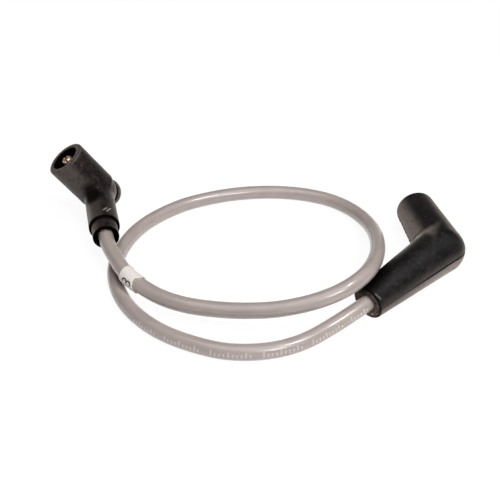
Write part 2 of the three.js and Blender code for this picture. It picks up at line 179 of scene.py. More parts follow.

# Pale marks on a boot, in its own frame: start, end, width and strength. The plug boot's first is a painted
# highlight on its rim
COIL_PALE_MARKS = [
    ((-30.6, 5.7, 4.7), (-28.6, 4.5, 5.9), 0.7, 0.8),
    ((-31.6, 4.6, 5.8), (-28.4, 2.7, 6.8), 0.7, 0.7),
    ((-9.9, 6.6, 3.6), (-10.6, 6.2, 4.2), 0.6, 0.3),
    ((-12.4, 6.4, 3.7), (-12.9, 5.6, 4.8), 0.6, 0.3),
    ((-16.4, 4.0, 6.2), (-17.6, 3.2, 6.6), 0.5, 0.25),
]
PLUG_MARKS_AND_HIGHLIGHT = [
    # A painted highlight on the cut end's rim, then pale specks on the cut end
    ((-50.3, -4.2, 6.3), (-49.7, -6.2, 4.7), 0.8, 0.3),
    ((-51.1, -2.6, -5.0), (-51.1, -3.1, -4.5), 0.8, 0.9),
]

# Camera, floor and world, in metres. The backdrop is what the camera sees past the floor
CAMERA_LENS = 53.28
CAMERA_PLACE = (-0.00015, -0.2897, 0.2144)
CAMERA_TILT = math.radians(53.8)
FLOOR_REACH = 3.0
FLOOR_COLOUR = (0.93, 0.93, 0.93)
FLOOR_IN_SHADOW = (0.15, 0.15, 0.15)
FLOOR_GLOW = 0.93
BACKDROP_COLOUR = (0.8, 0.8, 0.8)
ROOM_COLOUR = (0.05, 0.05, 0.05)
HORIZON_LIGHT = 1.33
OVERHEAD_LIGHT = 0.60
OVERHEAD_HEIGHT = 0.55

# Square lamps: the way to each, its distance and size in metres, and its watts
LAMPS = {
    "overhead": ((0.05, -0.15, 1.0), 1.1, 1.1, 5.8),
    "front_key": ((0.33, -0.62, 0.70), 0.9, 0.22, 2.4),
    "bright_spot": ((0.40, -0.20, 0.89), 0.7, 0.05, 1.3),
}

# Free route of the lead, in metres, from the coil boot's neck to the plug boot's cable end
LEAD_ROUTE = [
    (-0.0627, -0.0176, 0.0130),
    (-0.0589, -0.0246, 0.0123),
    (-0.0540, -0.0321, 0.0112),
    (-0.0476, -0.0378, 0.0103),
    (-0.0386, -0.0445, 0.0097),
    (-0.0276, -0.0494, 0.0095),
    (-0.0149, -0.0524, 0.0097),
    (-0.0022, -0.0543, 0.0105),
    (0.0103, -0.0551, 0.0119),
    (0.0229, -0.0540, 0.0139),
    (0.0335, -0.0516, 0.0162),
    (0.0423, -0.0475, 0.0184),
    (0.0497, -0.0400, 0.0192),
    (0.0561, -0.0255, 0.0168),
    (0.0593, -0.0102, 0.0132),
    (0.0602, 0.0048, 0.0094),
    (0.0583, 0.0190, 0.0064),
    (0.0522, 0.0330, 0.0044),
    (0.0425, 0.0429, 0.0037),
    (0.0296, 0.0486, 0.0036),
    (0.0161, 0.0510, 0.0036),
    (0.0026, 0.0509, 0.0036),
    (-0.0109, 0.0486, 0.0036),
    (-0.0242, 0.0440, 0.0036),
    (-0.0371, 0.0370, 0.0036),
    (-0.0540, 0.0195, 0.0036),
    (-0.0617, 0.0006, 0.0036),
    (-0.0629, -0.0188, 0.0036),
    (-0.0551, -0.0410, 0.0036),
    (-0.0382, -0.0592, 0.0036),
    (-0.0145, -0.0704, 0.0036),
    (-0.0022, -0.0720, 0.0036),
    (0.0113, -0.0702, 0.0036),
    (0.0227, -0.0655, 0.0038),
    (0.0328, -0.0587, 0.0046),
    (0.0411, -0.0532, 0.0063),
]


# Camera at the photograph's viewpoint


def add_object(name, data):
    """An object of the scene that holds a mesh, lamp or camera."""
    made = bpy.data.objects.new(name, data)
    bpy.context.scene.collection.objects.link(made)
    return made


def add_camera():
    data = bpy.data.cameras.new("photo_camera")
    data.lens = CAMERA_LENS
    data.sensor_width = 36
    camera = add_object("photo_camera", data)
    camera.location = CAMERA_PLACE
    camera.rotation_euler = (CAMERA_TILT, 0, 0)
    bpy.context.scene.camera = camera


add_camera()


# Places of the boots. In a boot's own frame the elbow is at the origin, the cable leg runs along -X,
# and the mouth leg lies in the XY plane


def turn_about(axis, angle):
    """A turn about one of the three axes."""
    first, second = (axis + 1) % 3, (axis + 2) % 3
    matrix = np.eye(3)
    matrix[first, first] = matrix[second, second] = math.cos(angle)
    matrix[second, first] = math.sin(angle)
    matrix[first, second] = -math.sin(angle)
    return matrix


class Place:
    """Where a boot lies, and the directions of its legs and of its outer corner."""

    def __init__(self, elbow, height, heading, pitch, roll, turn):
        self.elbow = np.array([*elbow, height])
        self.turned = turn_about(2, heading) @ turn_about(1, -pitch) @ turn_about(0, roll)
        self.cable = np.array([-1.0, 0.0, 0.0])
        self.mouth = np.array([math.cos(turn), math.sin(turn), 0.0])
        corner = -(self.cable + self.mouth)
        self.corner = corner / np.linalg.norm(corner)

    def to_frame(self, points):
        return self.elbow + points @ self.turned.T

    def up_cable(self, distance):
        return self.to_frame(self.cable * distance)


def coil_place():
    corner_down = math.cos(COIL_TURN / 2) * math.sin(COIL_ROLL)
    corner_level = math.sqrt(1 - corner_down**2)
    reach = (KNOB_REACH - KNOB_ROUND) * corner_down
    height = reach + (KNOB_RADIUS - KNOB_ROUND) * corner_level + KNOB_ROUND
    return Place(COIL_ELBOW, height, COIL_HEADING, 0, COIL_ROLL, COIL_TURN)


def plug_place():
    pitch = math.asin((PLUG_ELBOW_RADIUS - PLUG_CABLE_RADIUS) / PLUG_CABLE_LENGTH)
    rise = (PLUG_MOUTH_RADIUS - PLUG_ELBOW_RADIUS) / PLUG_MOUTH_LENGTH
    rise -= math.cos(PLUG_TURN) * math.sin(pitch)
    roll = math.asin(rise / (math.sin(PLUG_TURN) * math.cos(pitch)))
    return Place(PLUG_ELBOW, PLUG_ELBOW_RADIUS, PLUG_HEADING, pitch, roll, PLUG_TURN)


COIL = coil_place()
PLUG = plug_place()


# Meshes


def add_mesh(name, points, faces, fields=None):
    """An object from points in millimetres, with named numbers or vectors for each point."""
    mesh = bpy.data.meshes.new(name)
    mesh.from_pydata((np.asarray(points) * MM).tolist(), [], [list(face) for face in faces])
    mesh.shade_smooth()
    for title, values in (fields or {}).items():
        values = np.asarray(values, np.float32)
        if values.ndim == 2:
            mesh.attributes.new(title, "FLOAT_VECTOR", "POINT").data.foreach_set("vector", values.ravel())
        else:
            mesh.attributes.new(title, "FLOAT", "POINT").data.foreach_set("value", values)
    return add_object(name, mesh)


def facing_out(points, quads):
    """The quads, turned over if they enclose a negative volume."""
    a, b, c, d = (points[quads[:, corner]] for corner in range(4))
    volume = (np.cross(a, b) * c).sum() + (np.cross(a, c) * d).sum()
    return quads if volume > 0 else quads[:, ::-1]


def ring_faces(count, sides, closed):
    """Quads between rings of points; a closed set joins its last ring to its first."""
    ring = np.arange(count if closed else count - 1)[:, None]
    side = np.arange(sides)[None, :]
    following = (ring + 1) % count
    beside = (side + 1) % sides
    corners = [(ring, side), (following, side), (following, beside), (ring, beside)]
    corners = [row * sides + column for row, column in corners]
    return np.stack([corner.ravel() for corner in np.broadcast_arrays(*corners)], axis=1)


def ring_piece(name, rings, fields=None):
    """A closed tube or band, whose rings run along the outside and back along the inside."""
    count, sides = rings.shape[:2]
    points = rings.reshape(-1, 3)
    quads = facing_out(points, ring_faces(count, sides, True))
    return add_mesh(name, points, quads, fields)


def turned_piece(name, place, direction, outline, shade, sides=96):
    """A piece turned about a leg's axis, from a closed outline of (along, radius) points and their shade."""
    outline = np.asarray(outline, float)
    across = np.array([0.0, 0.0, 1.0])
    beside = np.cross(direction, across)
    angles = np.linspace(0, 2 * math.pi, sides, endpoint=False)
    spokes = np.outer(np.cos(angles), across) + np.outer(np.sin(angles), beside)
    rings = outline[:, 0][:, None, None] * direction + outline[:, 1][:, None, None] * spokes
    rings = place.to_frame(rings.reshape(-1, 3)).reshape(rings.shape)
    return ring_piece(name, rings, {"shade": np.repeat(shade, sides)})


def rounded_corner(along, radius, first, second, size, steps=4):
    """Points round a right-angled corner of an outline, between two unit directions out of the corner."""
    first, second = np.array(first, float), np.array(second, float)
    centre = np.array([along, radius]) + size * (first + second)
    angles = np.linspace(0, math.pi / 2, steps + 1)
    return [tuple(centre - size * (math.cos(a) * second + math.sin(a) * first)) for a in angles]


# Signed distances, in millimetres, negative inside. Moulded rubber is joined, rounded and bored with them


def both(first, second, rounding=0.0):
    """Where two shapes overlap, with the edge between them rounded."""
    inner = np.minimum(np.maximum(first, second), -rounding)
    return inner + np.hypot(np.maximum(first + rounding, 0), np.maximum(second + rounding, 0))


def either(first, second, fillet):
    """Two shapes joined, with a soft fillet between them. The fillet may be one size for each point."""
    size = np.maximum(fillet, 1e-6)
    overlap = np.maximum(size - np.abs(first - second), 0) / size
    return np.minimum(first, second) - overlap**2 * size / 4


def without(shape, cutter, rounding=0.0):
    return both(shape, -cutter, rounding)


def from_axis(points, direction):
    """Distance from the line through the elbow in a direction."""
    return np.linalg.norm(points - (points @ direction)[:, None] * direction, axis=1)


def rod(points, direction, start, end, radius, end_radius=None, start_round=0.3, end_round=0.3):
    """A straight or tapered rod between two distances from the elbow."""
    along = points @ direction
    slope = 0.0 if end_radius is None else (end_radius - radius) / (end - start)
    side = (from_axis(points, direction) - radius - slope * (along - start)) / math.hypot(1, slope)
    return both(both(side, start - along, start_round), along - end, end_round)


def ball(points, radius):
    return np.linalg.norm(points, axis=1) - radius


def faded(value, full, gone):
    """1 where the value is at full, 0 where it has reached gone, and eased between them."""
    share = np.clip((value - gone) / (full - gone), 0, 1)
    return share * share * (3 - 2 * share)


def ripple(points, size, height):
    """A slight unevenness, as moulded rubber has, from three crossing waves."""
    wave = np.sin(points[:, 0] / size + 1.3 * np.sin(points[:, 1] / size / 1.7))
    wave += np.sin(points[:, 1] / size * 1.3 + 1.1 * np.sin(points[:, 2] / size / 1.3 + 0.6))
    wave += np.sin(points[:, 2] / size * 1.1 + 1.2 * np.sin(points[:, 0] / size / 2.1 + 2.0))
    return wave * height / 3


CELL_CORNERS = [(i, j, k) for i in (0, 1) for j in (0, 1) for k in (0, 1)]


def crossed_cells(inside):
    """Which cells of the grid the surface passes through."""
    cells = [count - 1 for count in inside.shape]
    filled = np.zeros(cells, int)
    for i, j, k in CELL_CORNERS:
        filled += inside[i : i + cells[0], j : j + cells[1], k : k + cells[2]]
    return (filled > 0) & (filled < len(CELL_CORNERS))


def points_in_cells(values, where):
    """A point in each cell, in the middle of the places where the surface cuts the cell's edges."""
    total = np.zeros(where.shape)
    hits = np.zeros(len(where))
    for axis in range(3):
        for corner in CELL_CORNERS:
            if corner[axis]:
                continue
            far = tuple(c + (a == axis) for a, c in enumerate(corner))
            near_value = values[tuple((where + corner).T)]
            far_value = values[tuple((where + far).T)]
            cut = (near_value < 0) != (far_value < 0)
            share = np.where(cut, near_value / np.where(cut, near_value - far_value, 1), 0)
            point = np.tile(np.array(corner, float), (len(where), 1))
            point[:, axis] += share
            total += point * cut[:, None]
            hits += cut
    return where + total / hits[:, None]


def quads_round_edges(inside, number):
    """A quad round each grid edge that the surface cuts, from the points in the four cells beside it."""
    quads = []
    for axis in range(3):
        second, third = (axis + 1) % 3, (axis + 2) % 3
        near = [slice(None)] * 3
        far = [slice(None)] * 3
        near[axis] = slice(0, -1)
        far[axis] = slice(1, None)
        start, end = inside[tuple(near)], inside[tuple(far)]
        edges = np.argwhere(start != end)
        fits = (edges[:, second] > 0) & (edges[:, third] > 0)
        fits &= (edges[:, second] < number.shape[second]) & (edges[:, third] < number.shape[third])
        edges = edges[fits]
        outward = start[tuple(edges.T)]
        around = []
        for back_second, back_third in ((1, 1), (0, 1), (0, 0), (1, 0)):
            cell_at = edges.copy()
            cell_at[:, second] -= back_second
            cell_at[:, third] -= back_third
            around.append(number[tuple(cell_at.T)])
        faces = np.stack(around, axis=1)
        quads.append(np.where(outward[:, None], faces, faces[:, ::-1]))
    return np.concatenate(quads)


def surface_of(distance, low, high, cell):
    """Points and quads of the surface where the distance is 0, as a net with one point in each cell."""
    counts = [int(math.ceil((high[a] - low[a]) / cell)) + 1 for a in range(3)]
    axes = [low[a] + cell * np.arange(counts[a]) for a in range(3)]
    grid = np.stack(np.meshgrid(*axes, indexing="ij"), axis=-1).reshape(-1, 3)
    values = np.concatenate([distance(part) for part in np.array_split(grid, 12)]).reshape(counts)
    inside = values < 0
    crossed = crossed_cells(inside)
    number = np.full(crossed.shape, -1)
    number[crossed] = np.arange(crossed.sum())
    points = points_in_cells(values, np.argwhere(crossed)) * cell + np.array(low)
    return settled(distance, points, cell), quads_round_edges(inside, number)


def settled(distance, points, cell, rounds=4, probe=0.04):
    """The points moved onto the surface, along the distance's own slope."""
    start = points.copy()
    for _ in range(rounds):
        slope = np.zeros(points.shape)
        for axis in range(3):
            step = np.zeros(3)
            step[axis] = probe
            slope[:, axis] = (distance(points + step) - distance(points - step)) / (2 * probe)
        steepness = np.maximum((slope**2).sum(axis=1), 0.05)
        points = points - (distance(points) / steepness)[:, None] * slope
        drift = points - start
        length = np.linalg.norm(drift, axis=1)
        points = start + drift * (np.minimum(length, 0.7 * cell) / np.maximum(length, 1e-9))[:, None]
    return points


# Coil boot


def coil_boot_distance(points):
    cable, mouth, corner = COIL.cable, COIL.mouth, COIL.corner
    leg = rod(points, mouth, 0, COIL_MOUTH_LENGTH, COIL_MOUTH_RADIUS, start_round=1.6, end_round=1.1)
    neck = rod(points, cable, 0, COIL_NECK_LENGTH, COIL_NECK_RADIUS, end_round=0.6)
    shape = either(leg, ball(points, COIL_ELBOW_RADIUS), 1.5)
    shape = either(shape, neck, COIL_BEND_FILLET)
    knob_start = KNOB_REACH - KNOB_THICKNESS
    stem = rod(points, corner, 0, knob_start + 1, KNOB_STEM_RADIUS)
    knob = rod(points, corner, knob_start, KNOB_REACH, KNOB_RADIUS, start_round=0.5, end_round=KNOB_ROUND)
    shape = either(either(shape, stem, 2.0), knob, 0.8)
    shape += ripple(points, 2.3, 0.05)

    spigot_bore = SPIGOT_RADIUS + BORE_GAP
    spigot_floor = COIL_NECK_LENGTH - SPIGOT_LENGTH - BORE_GAP
    crimp_end = COIL_POCKET_START + POCKET_LENGTH + CRIMP_LENGTH + BORE_GAP
    open_end = COIL_NECK_LENGTH + 5
    bores = [
        ball(points, CHAMBER_RADIUS),
        rod(points, cable, -1, crimp_end, CHAMBER_RADIUS),
        rod(points, cable, 0, open_end, LEAD_BORE),
        rod(points, cable, spigot_floor, open_end, spigot_bore),
        rod(points, cable, COIL_NECK_LENGTH - 2.2, open_end, COIL_NECK_RADIUS - 0.4),
        rod(points, mouth, 0, COIL_MOUTH_LENGTH, ROD_RADIUS + BORE_GAP),
    ]
    for bore in bores:
        shape = without(shape, bore, BORE_EDGE)
    mouth_end = COIL_MOUTH_LENGTH + 9
    mouth_bore = rod(points, mouth, COIL_MOUTH_FLOOR, mouth_end, COIL_MOUTH_BORE, start_round=1.2)
    return without(shape, mouth_bore, 0.7)


def coil_boot_shade(points):
    """Painted shade: dark in the bores, on the rim, in the bend's inner corner and behind the knob."""
    cable, mouth, corner = COIL.cable, COIL.mouth, COIL.corner
    along_mouth, along_neck, along_knob = points @ mouth, points @ cable, points @ corner
    bore = faded(from_axis(points, mouth), COIL_MOUTH_BORE + 0.1, COIL_MOUTH_BORE + 0.6)
    bore = bore * (along_mouth > COIL_MOUTH_FLOOR - 1)
    neck_bore = faded(from_axis(points, cable), COIL_NECK_RADIUS - 0.35, COIL_NECK_RADIUS - 0.15)
    neck_bore = neck_bore * (along_neck > COIL_NECK_LENGTH - SPIGOT_LENGTH)
    rim = 0.8 * faded(along_neck, COIL_NECK_LENGTH - 0.2, COIL_NECK_LENGTH - 1.3)
    # Painted shade in the bend's inner corner
    patch = 0.93 * faded(np.linalg.norm((points - np.array(CORNER_SHADE_CENTRE)) / (1.5, 1, 1), axis=1), 3.0, 6.8)
    behind = faded(np.abs(along_knob - KNOB_REACH + KNOB_THICKNESS), 0.2, 1.3)
    behind = 0.85 * behind * faded(from_axis(points, corner), KNOB_RADIUS - 1.2, KNOB_RADIUS - 0.4)
    return np.max([bore, neck_bore, rim, patch, behind], axis=0)


def coil_boot_talc_and_sheen(points):
    """Where talc clings, partly a painted highlight and floor reflection: the knob's edge, the bend beside
    it, the mouth's rim and one side of the mouth leg near the bend.
    """
    along_knob = points @ COIL.corner
    knob = 0.5 * faded(along_knob, KNOB_REACH - 2.0, KNOB_REACH - 3.2)
    bend = 0.18 * faded(np.abs(along_knob - 4), 2, 7) * faded(points[:, 2], 6, 0)
    rim = 0.2 * faded(points @ COIL.mouth, COIL_MOUTH_LENGTH - 0.6, COIL_MOUTH_LENGTH - 1.6)
    # Painted reflection of the floor on this side of the mouth leg
    left = 0.22 * faded(points @ np.array([-0.8, 0.0, -0.6]), 8, 4) * faded(points @ COIL.mouth, 9, 5)
    return np.max([knob, bend, rim, left], axis=0)


def add_coil_boot():
    points, quads = surface_of(coil_boot_distance, (-36.8, -16.9, -11.0), (16.9, 26.4, 11.0), 0.32)
    fields = {"own": points, "shade": coil_boot_shade(points), "talc_and_sheen": coil_boot_talc_and_sheen(points)}
    piece = add_mesh("coil_boot_moulding", COIL.to_frame(points), quads, fields)
    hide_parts("coil_boot")
    return piece


def add_coil_seal():
    """The collar with its fine mould rings, the recess in its end and the spigot inside the neck."""
    start = COIL_NECK_LENGTH + BORE_GAP
    end = start + COLLAR_LENGTH
    outline = [(start - SPIGOT_LENGTH, LEAD_BORE), (start - SPIGOT_LENGTH, SPIGOT_RADIUS)]
    shoulder = start - 2.0
    outline += [(shoulder, SPIGOT_RADIUS), *rounded_corner(shoulder, COLLAR_RADIUS, (0, -1), (1, 0), 0.3)]
    ring = start + 0.6
    while ring < end - 1.4:
        groove = (ring + COLLAR_RING_WIDTH / 2, COLLAR_RADIUS - COLLAR_RING_DEPTH)
        outline += [(ring, COLLAR_RADIUS), groove, (ring + COLLAR_RING_WIDTH, COLLAR_RADIUS)]
        ring += COLLAR_RING_PITCH
    outline += rounded_corner(end, COLLAR_RADIUS, (-1, 0), (0, -1), 0.5)
    outline += rounded_corner(end, COLLAR_RECESS_RADIUS, (0, 1), (-1, 0), 0.35)
    outline += [(end - COLLAR_RECESS_DEPTH, COLLAR_RECESS_RADIUS), (end - COLLAR_RECESS_DEPTH, LEAD_BORE)]
    along, radius = np.array(outline).T
    # Painted shade: dark on the end face, where the collar enters the neck, and on all its inner surfaces
    shade = np.maximum(faded(along, end - 0.15, end - 0.9), faded(along, start + 0.2, start + 1.2))
    shade = np.where(radius < COLLAR_RADIUS - 0.6, 1.0, shade)
    piece = turned_piece("coil_boot_collar", COIL, COIL.cable, outline, shade)
    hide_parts("coil_boot_seal")
    return piece


# Plug boot


def beside_mouth(points):
    """Distance to the outer side of the mouth leg's axis, in the plane of both legs."""
    return points @ np.array([PLUG.mouth[1], -PLUG.mouth[0], 0.0])


def plug_seam(points):
    """Height over the mould's parting surface, which tilts a little across each leg."""
    in_mouth_leg = points @ (PLUG.mouth - PLUG.cable) > 0
    across = np.where(in_mouth_leg, beside_mouth(points), -points[:, 1])
    return points[:, 2] - math.tan(SEAM_TILT) * across


def plug_flash(points):
    """Height of the thin flash of rubber left along the inner side of the mouth leg."""
    along = points @ PLUG.mouth
    inner = faded(-beside_mouth(points), 6, 3) * faded(along, 9, 7)
    inner = inner * faded(along, PLUG_MOUTH_LENGTH - 5, PLUG_MOUTH_LENGTH - 3)
    bumps = 0.55 + 0.25 * np.sin(along * 1.7) + 0.3 * np.sin(along * 0.61 + 1.2)
    return FLASH_HEIGHT * inner * bumps * np.exp(-((plug_seam(points) / 0.36) ** 2))


def leg_side(points, direction, end_radius, length):
    """Distance from a leg's side, where the leg runs straight on past the elbow."""
    along = points @ direction
    slope = (end_radius - PLUG_ELBOW_RADIUS) / length
    return from_axis(points, direction) - PLUG_ELBOW_RADIUS - slope * np.maximum(along, 0)


def plug_corner(points):
    """The elbow's outer corner: both legs run on until they meet, with the edge between them rounded."""
    along_cable = leg_side(points, PLUG.cable, PLUG_CABLE_RADIUS, PLUG_CABLE_LENGTH)
    along_mouth = leg_side(points, PLUG.mouth, PLUG_MOUTH_RADIUS, PLUG_MOUTH_LENGTH)
    mitre = both(along_cable, along_mouth, PLUG_CORNER_ROUND)
    within = np.maximum(points @ PLUG.cable, points @ PLUG.mouth) - PLUG_CORNER_OVERLAP
    return either(np.maximum(mitre, within), ball(points, PLUG_ELBOW_RADIUS), 0.4)


def plug_boot_distance(points):
    cable, mouth, corner = PLUG.cable, PLUG.mouth, PLUG.corner
    elbow, cable_end, mouth_end = PLUG_ELBOW_RADIUS, PLUG_CABLE_LENGTH, PLUG_MOUTH_LENGTH
    cable_leg = rod(points, cable, 0, cable_end, elbow, PLUG_CABLE_RADIUS, end_round=0.9)
    mouth_leg = rod(points, mouth, 0, mouth_end, elbow, PLUG_MOUTH_RADIUS, end_round=1.4)
    crease = 1.1 * np.clip(-(points @ corner) / 4, 0, 1)
    shape = either(cable_leg, mouth_leg, crease)
    shape = np.minimum(shape, plug_corner(points))
    shape += ripple(points, 2.7, 0.06)
    shape += SEAM_STEP / (1 + np.exp(np.clip(plug_seam(points) / SEAM_STEP, -40, 40)))
    shape -= plug_flash(points)

    crimp_end = PLUG_POCKET_START + POCKET_LENGTH + CRIMP_LENGTH + BORE_GAP
    inward = mouth_end - points @ mouth
    ribs = sum(np.exp(-(((inward - rib * PLUG_RIB_PITCH) / PLUG_RIB_WIDTH) ** 2)) for rib in (1, 2))
    mouth_bore = rod(points, mouth, PLUG_MOUTH_FLOOR, mouth_end + 9, PLUG_MOUTH_BORE, start_round=1)
    bores = [
        (ball(points, SOCKET_CHAMBER_RADIUS), BORE_EDGE),
        (rod(points, cable, -1, crimp_end, CHAMBER_RADIUS), BORE_EDGE),
        (rod(points, cable, 0, cable_end + 5, LEAD_BORE), 0.35),
        (rod(points, mouth, 0, mouth_end, SOCKET_CHAMBER_RADIUS), BORE_EDGE),
        (mouth_bore + PLUG_RIB_HEIGHT * ribs, 0.5),
    ]
    for bore, rounding in bores:
        shape = without(shape, bore, rounding)
    return shape


def plug_cut_face(points):
    """Where the cable leg's end was cut off, inside its rim, which is painted in shade."""
    face = faded(points @ PLUG.cable, PLUG_CABLE_LENGTH - 0.1, PLUG_CABLE_LENGTH - 0.5)
    return face * faded(from_axis(points, PLUG.cable), CUT_RADIUS, CUT_RADIUS + 0.35)


def plug_line(points):
    """How strong the parting line is: deep round the elbow, faint towards the cable end."""
    along = points @ PLUG.cable
    return 0.25 + 0.75 * faded(along, 15, 40)


def plug_boot_shade(points):
    """Painted shade: dark in the mouth's bore and on the cut end's rim, and a painted shadow under the
    crossing lead.
    """
    along = points @ PLUG.cable
    across = from_axis(points, PLUG.cable)
    bore = faded(from_axis(points, PLUG.mouth), PLUG_MOUTH_BORE + 0.1, PLUG_MOUTH_BORE + 0.5)
    bore = bore * (points @ PLUG.mouth > SOCKET_CHAMBER_RADIUS)
    rim = faded(along, PLUG_CABLE_LENGTH - 0.3, PLUG_CABLE_LENGTH - 0.8)
    rim = 0.95 * rim * faded(np.abs(across - CUT_RADIUS - 0.45), 0.15, 0.6)
    # Painted shadow under the crossing lead
    under_lead = 0.96 * faded(lead_gap(PLUG.to_frame(points)), 1.0, 7.5) * faded(along, 20, 12)
    return np.max([bore, rim, under_lead], axis=0)


def plug_boot_talc_and_sheen(points):
    """Talc, with a painted floor reflection and highlight: below the parting line, on the legs' sides and in
    the crease between them.
    """
    seam = plug_seam(points)
    along, beside = points @ PLUG.cable, beside_mouth(points)
    on_mouth_leg = faded(points @ (PLUG.mouth - PLUG.cable), 6, 0)
    outward = faded(-points[:, 1], 4, 0)
    # Painted reflection of the floor below the parting line
    below = np.maximum(faded(-seam, 1.4, 0.2), 0.2 * outward * faded(seam, 0, 4.5))
    below = 0.75 * below * (0.5 + 0.5 * faded(along, 12, 44)) * (1 - on_mouth_leg * 0.5)
    inner = faded(-beside, 10.5, 3.0) ** 2 * on_mouth_leg
    outer = 0.5 * faded(beside, 8.5, 1.5) ** 2 * on_mouth_leg
    # Painted highlight along the crease
    crease = np.abs(from_axis(points, PLUG.cable) - from_axis(points, PLUG.mouth))
    crease = 0.5 * faded(crease, 0.2, 1.7) * faded(-(points @ PLUG.corner), 6, 0)
    upper = 0.22 * faded(points[:, 1], 9, 6) * (1 - on_mouth_leg)
    return np.max([below, inner, outer, crease, upper], axis=0)


def add_plug_boot():
    points, quads = surface_of(plug_boot_distance, (-52.6, -12.9, -12.1), (31.8, 38.4, 12.1), 0.36)
    fields = {"own": points, "seam": plug_seam(points), "cut_face": plug_cut_face(points)}
    fields |= {"line": plug_line(points), "shade": plug_boot_shade(points), "talc_and_sheen": plug_boot_talc_and_sheen(points)}
    piece = add_mesh("plug_boot_moulding", PLUG.to_frame(points), quads, fields)
    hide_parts("plug_boot")
    return piece


# Terminal seen in the coil boot's mouth


def coil_terminal_distance(points):
    cable, mouth = COIL.cable, COIL.mouth
    crimp_start = COIL_POCKET_START + POCKET_LENGTH
    crimp_end = crimp_start + CRIMP_LENGTH
    tip = COIL_MOUTH_LENGTH - PIN_BELOW_MOUTH
    along = points @ mouth
    swell = ROD_RADIUS + (PIN_TIP_RADIUS - ROD_RADIUS) * np.clip((along - tip + 5) / 2.5, 0, 1)
    pin = both(from_axis(points, mouth) - swell, along - tip, 1.3)
    shape = either(both(pin, -along, 0.1), ball(points, ROD_RADIUS), 0.3)
    rods = [
        rod(points, cable, 0, COIL_POCKET_START + 1, ROD_RADIUS),
        rod(points, cable, COIL_POCKET_START, crimp_start, POCKET_RADIUS),
        rod(points, cable, crimp_start - 0.5, crimp_end, CRIMP_RADIUS, end_round=0.15),
    ]
    for part in rods:
        shape = either(shape, part, 0.3)
    seam = both(np.abs(points[:, 1]) - CRIMP_SEAM_WIDTH / 2, -points[:, 2], 0.05)
    seam = both(seam, crimp_start + 0.5 - points @ cable, 0.05)
    split = both(np.abs(points[:, 2]) - PIN_SPLIT_WIDTH / 2, tip - PIN_SPLIT_LENGTH - along, 0.05)
    cuts = [
        (rod(points, cable, COIL_POCKET_START, crimp_end + 2, POCKET_BORE), 0.1),
        (rod(points, cable, crimp_start, crimp_end + 2, LEAD_BORE), 0.1),
        (seam, 0.1),
        (split, 0.15),
        (rod(points, mouth, tip - PIN_SPLIT_LENGTH, tip + 2, PIN_HOLE_RADIUS), 0.15),
    ]
    for part, rounding in cuts:
        shape = without(shape, part, rounding)
    return shape


def add_coil_terminal():
    points, quads = surface_of(coil_terminal_distance, (-20.4, -5.2, -5.2), (5.2, 25.4, 5.2), 0.2)
    piece = add_mesh("coil_terminal_pin", COIL.to_frame(points), quads, {"own": points})
    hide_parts("coil_terminal")
    return piece


# Lead


def spline(points, per_span=24):
    """A smooth curve through the points, whose speed follows the square root of their spacing."""
    points = np.asarray(points, float)
    padded = np.vstack([2 * points[0] - points[1], points, 2 * points[-1] - points[-2]])
    spacing = np.sqrt(np.linalg.norm(np.diff(padded, axis=0), axis=1))
    curve = []
    for span in range(1, len(padded) - 2):
        before, near, far, after = padded[span - 1 : span + 3]
        d0, d1, d2 = spacing[span - 1 : span + 2]
        leave = (near - before) / d0 - (far - before) / (d0 + d1) + (far - near) / d1
        reach = (far - near) / d1 - (after - near) / (d1 + d2) + (after - far) / d2
        for t in np.linspace(0, 1, per_span, endpoint=False):
            part = (2 * t**3 - 3 * t**2 + 1) * near + (3 * t**2 - 2 * t**3) * far
            part = part + d1 * ((t**3 - 2 * t**2 + t) * leave + (t**3 - t**2) * reach)
            curve.append(part)
    curve.append(points[-1])
    return np.array(curve)


def even_steps(curve, step):
    length = np.concatenate([[0], np.cumsum(np.linalg.norm(np.diff(curve, axis=0), axis=1))])
    count = int(round(length[-1] / step)) + 1
    stations = np.linspace(0, length[-1], count)
    return np.stack([np.interp(stations, length, curve[:, a]) for a in range(3)], axis=1), stations


def eased(path, reach):
    """The path with small kinks evened out over a short reach, and its ends left straight."""
    steps = np.arange(-3 * reach, 3 * reach + 1)
    weights = np.exp(-0.5 * (steps / reach) ** 2)
    weights /= weights.sum()
    count = 3 * reach
    start = path[0] + (path[0] - path[1]) * np.arange(count, 0, -1)[:, None]
    end = path[-1] + (path[-1] - path[-2]) * np.arange(1, count + 1)[:, None]
    padded = np.vstack([start, path, end])
    return np.stack([np.convolve(padded[:, a], weights, mode="valid") for a in range(3)], axis=1)


COIL_CRIMP = COIL_POCKET_START + POCKET_LENGTH + BORE_GAP
PLUG_CRIMP = PLUG_POCKET_START + POCKET_LENGTH + BORE_GAP
NECK_END = COIL_NECK_LENGTH + BORE_GAP + COLLAR_LENGTH


def lead_path():
    through = [
        COIL.up_cable(COIL_CRIMP),
        COIL.up_cable((COIL_CRIMP + NECK_END) / 2),
        COIL.up_cable(NECK_END),
        COIL.up_cable(NECK_END + LEAD_DIAMETER / 2),
        *(np.array(LEAD_ROUTE) / MM),
        PLUG.up_cable(PLUG_CABLE_LENGTH + LEAD_DIAMETER / 2),
        PLUG.up_cable(PLUG_CABLE_LENGTH),
        PLUG.up_cable((PLUG_CRIMP + PLUG_CABLE_LENGTH) / 2),
        PLUG.up_cable(PLUG_CRIMP),
    ]
    path, _ = even_steps(spline(through), LEAD_STEP)
    return even_steps(eased(path, 3), LEAD_STEP)


PATH, STATIONS = lead_path()
NECK_STATION = NECK_END - COIL_CRIMP
PLUG_STATION = STATIONS[-1] - (PLUG_CABLE_LENGTH - PLUG_CRIMP)


def directions_at(path):
    """At each point of the path: the way it runs, the way up across it, and the way to its side."""
    along = np.gradient(path, axis=0)
    along /= np.linalg.norm(along, axis=1)[:, None]
    side = np.cross(along, [0.0, 0.0, 1.0])
    side /= np.linalg.norm(side, axis=1)[:, None]
    return along, np.cross(side, along), side


